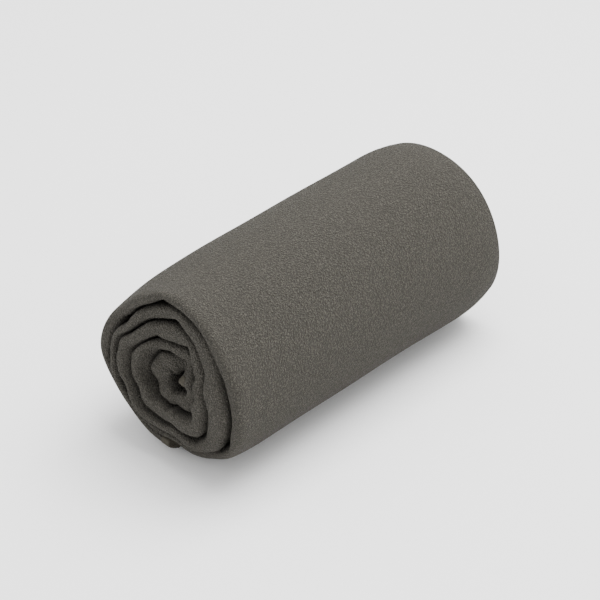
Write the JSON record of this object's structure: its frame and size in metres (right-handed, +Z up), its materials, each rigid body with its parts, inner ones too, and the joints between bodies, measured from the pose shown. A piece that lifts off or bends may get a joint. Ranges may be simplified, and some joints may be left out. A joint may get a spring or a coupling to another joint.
{
  "type": "quick dry towel",
  "caption": "Microfibre travel towel, folded into a long strip and rolled up into a soft cylinder that lies on its side.",
  "frame": {"origin": "on the floor under the middle of the roll", "axes": "+X along the roll from its folded end to its open end, +Z up"},
  "size_m": [0.1876, 0.0908, 0.0875],
  "materials": {
    "cloth": "matt crepe microfibre, warm dark grey",
    "hem_thread": "polyester overlock thread, a shade darker than the cloth",
    "label": "blank woven satin, light grey"
  },
  "bodies": {
    "root": {"towel_cloth": "cloth", "short_hem_first": "hem_thread", "short_hem_second": "hem_thread", "long_hem_core": "hem_thread", "long_hem_free": "hem_thread", "care_label": "label"}
  },
  "joints": []
}
